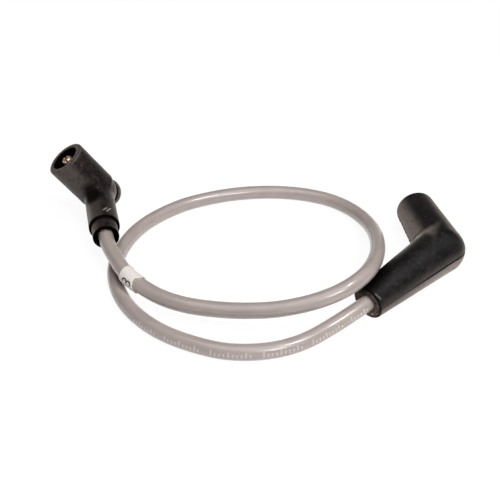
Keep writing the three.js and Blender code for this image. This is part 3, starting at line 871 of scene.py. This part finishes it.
_, UPWARD, SIDEWAYS = directions_at(PATH)


def lead_gap(points):
    """Distance from the free lead's surface, leaving out its last stretch before the plug boot."""
    last = PLUG_STATION - 5 * LEAD_DIAMETER
    free = PATH[(STATIONS > NECK_STATION + LEAD_DIAMETER) & (STATIONS < last)]
    tree = KDTree(len(free))
    for index, point in enumerate(free):
        tree.insert(point, index)
    tree.balance()
    return np.array([tree.find(point)[2] for point in points]) - LEAD_DIAMETER / 2


def crossing_shade(rings, stations):
    """Dark where another stretch of the lead lies close over or under this one."""
    shade = np.zeros(rings.shape[:2])
    for ring, (points, station) in enumerate(zip(rings, stations)):
        other = PATH[np.abs(STATIONS - station) > 5 * LEAD_DIAMETER]
        gap = np.linalg.norm(points[:, None] - other[None], axis=2).min(axis=1) - LEAD_DIAMETER / 2
        shade[ring] = faded(gap, 0.7, 3.6)
    return shade


def at_stations(stations, values):
    """What the path has at distances along the lead, such as its points."""
    return np.stack([np.interp(stations, STATIONS, values[:, a]) for a in range(3)], axis=-1)


def rings_on_lead(stations, angles, radii):
    """Rings over the lead from distances along it, angles from its top and radii, and laid out straight."""
    angles = np.broadcast_to(angles, stations.shape)
    radii = np.broadcast_to(radii[:, None], stations.shape)
    centre, upward, side = (at_stations(stations, values) for values in (PATH, UPWARD, SIDEWAYS))
    spokes = np.cos(angles)[..., None] * upward + np.sin(angles)[..., None] * side
    straight = np.stack([stations, radii * np.cos(angles), radii * np.sin(angles)], axis=-1)
    return centre + radii[..., None] * spokes, straight.reshape(-1, 3)


def add_lead():
    """The silicone jacket, as one tube with the bore of its conductor."""
    angles = np.linspace(0, 2 * math.pi, LEAD_SIDES, endpoint=False)
    stations = np.concatenate([STATIONS, STATIONS[::-1]])
    radii = np.repeat([LEAD_DIAMETER / 2, CONDUCTOR_DIAMETER / 2 + BORE_GAP], len(STATIONS))
    rings, straight = rings_on_lead(np.repeat(stations[:, None], LEAD_SIDES, axis=1), angles, radii)
    shade = crossing_shade(rings, stations).ravel()
    piece = ring_piece("silicone_lead", rings, {"straight": straight, "shade": shade})
    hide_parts("lead_jacket")
    return piece


def add_conductor():
    """The core, which stands out of the jacket's ends into the pockets of both terminals."""
    bare = POCKET_LENGTH - BORE_GAP
    first = COIL.up_cable(COIL_CRIMP - bare)
    last = PLUG.up_cable(PLUG_CRIMP - bare)
    path = np.vstack([first, PATH, last])
    _, upward, side = directions_at(path)
    angles = np.linspace(0, 2 * math.pi, 16, endpoint=False)
    cosines, sines = np.cos(angles)[None, :, None], np.sin(angles)[None, :, None]
    spokes = cosines * upward[:, None] + sines * side[:, None]
    rings = path[:, None] + spokes * CONDUCTOR_DIAMETER / 2
    count, sides = rings.shape[:2]
    points = rings.reshape(-1, 3)
    quads = facing_out(points, ring_faces(count, sides, False))
    ends = [list(range(sides)), list(range((count - 1) * sides, count * sides))]
    piece = add_mesh("lead_core", points, [*quads.tolist(), *ends])
    recalculate_normals(piece)
    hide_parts("lead_conductor")
    return piece


def recalculate_normals(piece):
    work = bmesh.new()
    work.from_mesh(piece.data)
    bmesh.ops.recalc_face_normals(work, faces=work.faces)
    work.to_mesh(piece.data)
    work.free()


# Number sleeve: a white band whose far end is torn, with a plain numeral printed on it

SLEEVE_START = NECK_STATION + SLEEVE_AFTER_NECK


def sleeve_start(angles):
    return SLEEVE_START + 0.7 * np.sin(angles)


def sleeve_end(angles):
    """Where the torn end lies, round the lead."""
    wave = -0.85 * np.sin(angles * 2) + 0.3 * np.sin(angles * 5 + 2.2) + 0.16 * np.sin(angles * 13)
    return SLEEVE_START + SLEEVE_LENGTH + wave


def add_sleeve():
    angles = np.linspace(0, 2 * math.pi, SLEEVE_SIDES, endpoint=False)
    there = np.linspace(0, 1, SLEEVE_STEPS)
    back = np.linspace(1, 0, SLEEVE_STEPS)
    radii = np.repeat([SLEEVE_OUTER, SLEEVE_INNER], SLEEVE_STEPS)
    start = sleeve_start(angles)
    stations = start + np.concatenate([there, back])[:, None] * (sleeve_end(angles) - start)
    rings, straight = rings_on_lead(stations, angles, radii)
    piece = ring_piece("number_band", rings, {"straight": straight})
    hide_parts("number_sleeve")
    return piece


# Shading


class Field:
    """A number, colour or vector inside a material, whose sums add their own nodes."""

    def __init__(self, tree, socket):
        self.tree = tree
        self.socket = socket

    def math(self, operation, *others):
        node = self.tree.nodes.new("ShaderNodeMath")
        node.operation = operation
        for place, value in enumerate((self, *others)):
            feed(self.tree, node.inputs[place], value)
        return Field(self.tree, node.outputs[0])

    def __add__(self, other):
        return self.math("ADD", other)

    def __mul__(self, other):
        return self.math("MULTIPLY", other)

    def __sub__(self, other):
        return self.math("SUBTRACT", other)

    def __truediv__(self, other):
        return self.math("DIVIDE", other)

    def __rsub__(self, other):
        return self * -1 + other

    __radd__ = __add__
    __rmul__ = __mul__


def feed(tree, socket, value):
    if isinstance(value, Field):
        tree.links.new(value.socket, socket)
    elif isinstance(value, tuple) and len(value) == 3 and socket.type == "RGBA":
        socket.default_value = (*value, 1.0)
    else:
        socket.default_value = value


class Nodes:
    """One node tree, and the method that adds a node with its settings and values."""

    def __init__(self, tree):
        self.tree = tree

    def node(self, kind, settings=None, values=None, output=0):
        made = self.tree.nodes.new(kind)
        for title, value in (settings or {}).items():
            setattr(made, title, value)
        for title, value in (values or {}).items():
            feed(self.tree, made.inputs[title], value)
        return Field(self.tree, made.outputs[output])

    def blend(self, share, first, second):
        """The shader eased from the first to the second."""
        return self.node("ShaderNodeMixShader", None, {0: share, 1: first, 2: second})

    def show(self, shader):
        output = next(node for node in self.tree.nodes if node.type.startswith("OUTPUT"))
        self.tree.links.new(shader.socket, output.inputs["Surface"])


class Finish(Nodes):
    """A material with one Principled shader, and the few kinds of pattern that it needs."""

    def __init__(self, name, **plain):
        self.material = bpy.data.materials.new(name)
        self.material.use_nodes = True
        super().__init__(self.material.node_tree)
        self.shader = self.tree.nodes["Principled BSDF"]
        self.set(**plain)

    def set(self, **values):
        for title, value in values.items():
            feed(self.tree, self.shader.inputs[title.replace("_", " ")], value)

    def place(self):
        return self.node("ShaderNodeTexCoord", output="Object")

    def stored(self, title, output="Fac"):
        return self.node("ShaderNodeAttribute", {"attribute_name": title}, output=output)

    def noise(self, vector, scale, detail=2.0, roughness=0.5):
        values = {"Vector": vector, "Scale": scale, "Detail": detail, "Roughness": roughness}
        return self.node("ShaderNodeTexNoise", None, values)

    def spots(self, vector, scale):
        """Distance from the nearest of many scattered points."""
        return self.node("ShaderNodeTexVoronoi", None, {"Vector": vector, "Scale": scale})

    def between(self, value, low, high, start=0.0, end=1.0):
        """The value eased from start to end as it passes from low to high."""
        values = {"Value": value, "From Min": low, "From Max": high, "To Min": start, "To Max": end}
        return self.node("ShaderNodeMapRange", {"interpolation_type": "SMOOTHSTEP"}, values)

    def mix(self, share, first, second):
        """The colour eased from the first to the second."""
        values = {"Factor": share, 6: first, 7: second}
        return self.node("ShaderNodeMix", {"data_type": "RGBA"}, values, 2)

    def vector(self, operation, first, second, output=0):
        return self.node("ShaderNodeVectorMath", {"operation": operation}, {0: first, 1: second}, output)

    def stretch(self, vector, factors):
        return self.vector("MULTIPLY", vector, factors)

    def parts(self, vector):
        node = self.tree.nodes.new("ShaderNodeSeparateXYZ")
        feed(self.tree, node.inputs[0], vector)
        return [Field(self.tree, socket) for socket in node.outputs]

    def stroke(self, place, start, end, width):
        """1 on a straight mark between two places and 0 away from it, with soft edges."""
        start, span = np.array(start, float), np.array(end, float) - np.array(start, float)
        offset = self.vector("SUBTRACT", place, tuple(start))
        share = self.vector("DOT_PRODUCT", offset, tuple(span / (span @ span)), "Value")
        share = share.math("MAXIMUM", 0.0).math("MINIMUM", 1.0)
        values = {0: tuple(span), "Scale": share}
        nearest = self.node("ShaderNodeVectorMath", {"operation": "SCALE"}, values)
        gap = self.vector("DISTANCE", offset, nearest, "Value")
        return self.between(gap, width * 0.7, width * 0.3)

    def within(self, value, middle, half, edge):
        """1 where the value is within half of the middle, with soft edges."""
        return self.between((value - middle).math("ABSOLUTE"), half + edge, half)

    def dimmed(self, mask, colour):
        """Paints shade: shows the finish, mixed with a matt dark one, without gloss, where the mask is 1."""
        plain = {"Base Color": colour, "Roughness": 0.95, "Specular IOR Level": 0.0}
        matt = self.node("ShaderNodeBsdfPrincipled", None, plain)
        self.show(self.blend(mask, Field(self.tree, self.shader.outputs[0]), matt))

    def bump(self, height, distance, strength=1.0):
        values = {"Height": height, "Distance": distance, "Strength": strength}
        return self.node("ShaderNodeBump", None, values)


def torn_end(rubber, place, colour, rough, height):
    """The boot's torn end face: brown, rough and crumbly, with pale specks."""
    face = rubber.stored("cut_face")
    crumb = rubber.noise(place, 900, 3, 0.7)
    torn = rubber.mix(rubber.between(crumb, 0.35, 0.65), TORN_DARK, TORN_LIGHT)
    colour = rubber.mix(face, colour, torn)
    speck = rubber.between(rubber.spots(place, 620), 0.2, 0.08) * face
    colour = rubber.mix(speck * 0.6, colour, TORN_SPECK)
    return colour, rough + 0.3 * face, height + crumb * face * 3


def moulded_rubber(name, dust_colour, marks_and_highlights=(), parted=False):
    """Black rubber, brown where talc and dust cling, with a painted floor reflection and sheen on its lower
    and outer sides, and painted shade in its hollows.
    """
    rubber = Finish(name, IOR=1.31, Sheen_Weight=0.7, Sheen_Roughness=0.3, Sheen_Tint=(1.0, 0.86, 0.78))
    place = rubber.place()
    cloud = rubber.noise(place, 120, 4, 0.6)
    mottle = rubber.noise(place, 560, 4, 0.7)
    grain = rubber.noise(place, 2200, 2, 0.6)
    dust = rubber.between(cloud * 0.35 + mottle * 0.65, 0.42, 0.64)
    colour = rubber.mix(dust, BARE_RUBBER, dust_colour)
    # Talc, with painted floor reflection and sheen, lightens the rubber where the stored field says
    talc_and_sheen = rubber.stored("talc_and_sheen") * rubber.between(mottle * 0.6 + grain * 0.4, 0.32, 0.58, 0.45, 1.0)
    colour = rubber.mix(talc_and_sheen, colour, TALC_AND_SHEEN)
    fleck = rubber.between(rubber.spots(place, 520), 0.17, 0.06)
    rare = rubber.between(rubber.noise(place, 210, 1), 0.50, 0.60)
    colour = rubber.mix(fleck * rare * 0.5, colour, FLECK)
    rough = 0.40 + 0.16 * dust + 0.12 * grain + 0.1 * talc_and_sheen
    height = grain * 0.4 + mottle * 0.6
    shade = rubber.stored("shade")
    if parted:
        colour, rough, height = torn_end(rubber, place, colour, rough, height)
        # The dark parting line is drawn with the same matt dark mix as the painted shade
        line = rubber.between(rubber.stored("seam").math("ABSOLUTE"), 0.55, 0.3) * rubber.stored("line")
        shade = shade.math("MAXIMUM", line)
    own = rubber.stored("own", "Vector")
    # Pale marks, one of them a painted highlight on the plug boot's rim
    for start, end, width, strength in marks_and_highlights:
        mark = rubber.stroke(own, start, end, width) * rubber.between(grain, 0.35, 0.6, 0.35, 1.0)
        colour = rubber.mix(mark * strength, colour, PALE_MARK_AND_HIGHLIGHT)
    rubber.set(Base_Color=colour, Roughness=rough, Normal=rubber.bump(height, 0.00016, 0.8))
    # Painted shade: the rubber turns matt and dark where its stored shade is
    rubber.dimmed(shade * rubber.between(mottle, 0.25, 0.5, 0.86, 1.0), RUBBER_SHADE_COLOUR)
    return rubber.material


def printed_marks(silicone, straight):
    """Plain white ticks, as on a rule, in small groups along the lead's last stretch."""
    station, upward, sideways = silicone.parts(straight)
    drop = sideways.math("ARCTAN2", upward) * (LEAD_DIAMETER / 2) - MARK_DROP
    cell = station / MARK_PITCH
    index = cell.math("FLOOR")
    tall = (index / MARKS_PER_TALL).math("FRACT").math("LESS_THAN", 0.2)
    foot = silicone.between(drop, 1.2, 1.0)
    head = silicone.between(drop + MARK_TALL_EXTRA * tall, -0.4, -0.2)
    marks = silicone.within(cell - index, 0.5, 0.11, 0.1) * foot * head
    group = (index / MARKS_PER_GROUP).math("FRACT").math("LESS_THAN", 0.8)
    reach = silicone.within(station, (MARK_START + MARK_END) / 2, (MARK_END - MARK_START) / 2, 0.5)
    return marks * group * reach


def lead_silicone():
    """Warm grey silicone with faint streaks along its length, a little dirt and plain printed marks."""
    silicone = Finish("lead_silicone", IOR=1.43, Coat_Weight=0.8, Coat_Roughness=0.21, Coat_IOR=1.6)
    straight = silicone.stored("straight", "Vector")

    def drawn(factors, detail, roughness=0.5):
        return silicone.noise(silicone.stretch(straight, factors), 1.0, detail, roughness)

    streak = drawn((0.05, 0.9, 0.9), 3, 0.6)
    cloud = drawn((0.12, 0.2, 0.2), 3, 0.55)
    grain = silicone.noise(straight, 2.6, 2, 0.6)
    tone = silicone.between(streak * 0.5 + cloud * 0.5, 0.3, 0.7)
    colour = silicone.mix(tone, SILICONE_DEEP, SILICONE_PALE)
    warm = silicone.between(drawn((0.06, 0.3, 0.3), 2), 0.40, 0.65)
    colour = silicone.mix(warm * 0.35, colour, SILICONE_WARM)
    dirt = silicone.between(drawn((0.35, 0.8, 0.8), 4, 0.7), 0.62, 0.74)
    colour = silicone.mix(dirt * 0.35, colour, SILICONE_DIRT)
    marks = printed_marks(silicone, straight)
    worn = silicone.between(grain, 0.3, 0.6, 0.45, 0.85)
    colour = silicone.mix(marks * worn, colour, WHITE_PRINT)
    bump = silicone.bump(grain * 0.6 + streak * 0.4, 0.00008, 0.6)
    silicone.set(Base_Color=colour, Roughness=0.36 + 0.16 * grain, Normal=bump)
    silicone.dimmed(silicone.stored("shade") * 0.94, SILICONE_SHADOW)
    return silicone.material


def plain_numeral(vinyl, straight):
    """A plain 3, printed across the sleeve's lower side, as two loops that are open downwards."""
    station, upward, sideways = vinyl.parts(straight)
    drop = sideways.math("ARCTAN2", upward) * SLEEVE_OUTER - NUMERAL_DROP
    strokes = []
    for side in (-1, 1):
        along = station - (SLEEVE_START + NUMERAL_PLACE + side * NUMERAL_LOOP)
        reach = (along * along + drop * drop).math("SQRT")
        strokes.append(vinyl.within(reach, NUMERAL_LOOP, NUMERAL_STROKE, 0.15))
    return strokes[0].math("MAXIMUM", strokes[1]) * vinyl.between(drop, 0.75, 0.55)


def sleeve_vinyl():
    """Warm white vinyl, a little soiled, with a plain printed numeral."""
    vinyl = Finish("sleeve_vinyl", IOR=1.45)
    straight = vinyl.stored("straight", "Vector")
    soil = vinyl.between(vinyl.noise(straight, 0.9, 4, 0.6), 0.45, 0.75)
    colour = vinyl.mix(soil, VINYL_CLEAN, VINYL_SOILED)
    colour = vinyl.mix(plain_numeral(vinyl, straight) * 0.93, colour, BLACK_PRINT)
    vinyl.set(Base_Color=colour, Roughness=0.45 + 0.2 * soil, Normal=vinyl.bump(soil, 0.00006, 0.5))
    return vinyl.material


def terminal_brass(name, in_bore=False):
    """Brass with patches of tarnish. The pin in the coil boot's bore has a painted shade of orange brown
    below its tip.
    """
    brass = Finish(name, Metallic=0.72 if in_bore else 1.0)
    place = brass.place()
    tarnish = brass.between(brass.noise(place, 700, 4, 0.65), 0.42, 0.68)
    colour = brass.mix(tarnish, BRASS_BRIGHT, BRASS_TARNISHED)
    if in_bore:
        height = brass.parts(brass.stored("own", "Vector"))[1]
        # Painted shade on the shaft below the tip
        low = brass.between(height, COIL_MOUTH_LENGTH - 3.0, COIL_MOUTH_LENGTH - 5.5)
        colour = brass.mix(low, colour, BRASS_SHADE_IN_BORE)
    scratch = brass.noise(brass.stretch(place, (1, 1, 6)), 1500, 2)
    brass.set(Base_Color=colour, Roughness=0.22 + 0.25 * tarnish, Normal=brass.bump(scratch, 0.00003, 0.5))
    return brass.material


def clip_steel():
    steel = Finish("clip_steel", Metallic=1.0)
    place = steel.place()
    wear = steel.noise(place, 1200, 3)
    colour = steel.mix(wear, STEEL_BRIGHT, STEEL_WORN)
    steel.set(Base_Color=colour, Roughness=0.22 + 0.2 * wear)
    return steel.material


def core_carbon():
    core = Finish("core_carbon", IOR=1.5)
    place = core.place()
    strand = core.noise(core.stretch(place, (1, 1, 3)), 1600, 3)
    colour = core.mix(strand, CARBON_DARK, CARBON_LIGHT)
    core.set(Base_Color=colour, Roughness=0.5 + 0.2 * strand, Normal=core.bump(strand, 0.00006))
    return core.material


def dress(piece, material):
    piece.data.materials.clear()
    piece.data.materials.append(material)


# The pieces, each on the wire's one body

lead = add_lead()
core = add_conductor()
sleeve = add_sleeve()
PIECES = [
    (lead, "lead_silicone", lead_silicone()),
    (core, "conductor", core_carbon()),
    (sleeve, "sleeve_vinyl", sleeve_vinyl()),
    (add_coil_boot(), "boot_rubber", moulded_rubber("coil_boot_rubber", BROWN_DUST, COIL_PALE_MARKS)),
    (add_coil_seal(), "boot_rubber", moulded_rubber("coil_seal_rubber", BROWN_DUST)),
    (add_coil_terminal(), "terminal_brass", terminal_brass("pin_brass", in_bore=True)),
    (
        add_plug_boot(),
        "boot_rubber",
        moulded_rubber("plug_boot_rubber", FAINT_DUST, PLUG_MARKS_AND_HIGHLIGHT, parted=True),
    ),
]
for piece, slot_name, finish in PIECES:
    dress(piece, finish)
    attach(piece, "root")

dress(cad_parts["plug_terminal"], terminal_brass("socket_brass"))
dress(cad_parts["plug_terminal_clip"], clip_steel())

tuple(COIL.up_cable(NECK_END - COLLAR_RECESS_DEPTH) * MM)


# Floor, world and lamps


def add_floor():
    """A pale floor, which the camera and reflections see as white apart from the object's shadow."""
    mesh = bpy.data.meshes.new("floor")
    corners = [(x * FLOOR_REACH, y * FLOOR_REACH, 0) for x, y in ((-1, -1), (1, -1), (1, 1), (-1, 1))]
    mesh.from_pydata(corners, [], [(0, 1, 2, 3)])
    floor = add_object("floor", mesh)
    material = bpy.data.materials.new("floor_white")
    material.use_nodes = True
    nodes = Nodes(material.node_tree)
    nodes.tree.nodes.remove(nodes.tree.nodes["Principled BSDF"])
    plain = nodes.node("ShaderNodeBsdfDiffuse", None, {"Color": FLOOR_COLOUR})
    shadowed = nodes.node("ShaderNodeBsdfDiffuse", None, {"Color": FLOOR_IN_SHADOW})
    glow = nodes.node("ShaderNodeEmission", None, {"Strength": FLOOR_GLOW})
    lifted = nodes.node("ShaderNodeAddShader", None, {0: shadowed, 1: glow})
    reflected = nodes.node("ShaderNodeLightPath", output="Is Glossy Ray")
    seen = nodes.node("ShaderNodeLightPath", output="Is Camera Ray").math("MAXIMUM", reflected)
    nodes.show(nodes.blend(seen, plain, lifted))
    mesh.materials.append(material)


def add_world():
    """Pale to the camera, and to the object a dim room that is lighter at the horizon than overhead."""
    world = bpy.data.worlds.new("studio")
    bpy.context.scene.world = world
    world.use_nodes = True
    nodes = Nodes(world.node_tree)
    nodes.tree.nodes.remove(nodes.tree.nodes["Background"])
    upward = nodes.node("ShaderNodeSeparateXYZ", None, {0: nodes.node("ShaderNodeTexCoord")}, "Z")
    steps = {"From Min": 0.0, "From Max": OVERHEAD_HEIGHT, "To Min": HORIZON_LIGHT, "To Max": OVERHEAD_LIGHT}
    strength = nodes.node("ShaderNodeMapRange", None, {"Value": upward, **steps})
    room = nodes.node("ShaderNodeBackground", None, {"Color": ROOM_COLOUR, "Strength": strength})
    backdrop = nodes.node("ShaderNodeBackground", None, {"Color": BACKDROP_COLOUR, "Strength": 1.0})
    seen = nodes.node("ShaderNodeLightPath", output="Is Camera Ray")
    nodes.show(nodes.blend(seen, room, backdrop))


def add_lamp(name, direction, distance, size, watts):
    data = bpy.data.lights.new(name, "AREA")
    data.shape = "SQUARE"
    data.size = size
    data.energy = watts
    lamp = add_object(name, data)
    way = np.array(direction, float)
    way /= np.linalg.norm(way)
    lamp.location = way * distance
    lamp.rotation_euler = Vector(way).to_track_quat("Z", "Y").to_euler()


add_floor()
add_world()
for name, values in LAMPS.items():
    add_lamp(name, *values)

bpy.context.scene.view_settings.view_transform = "Standard"
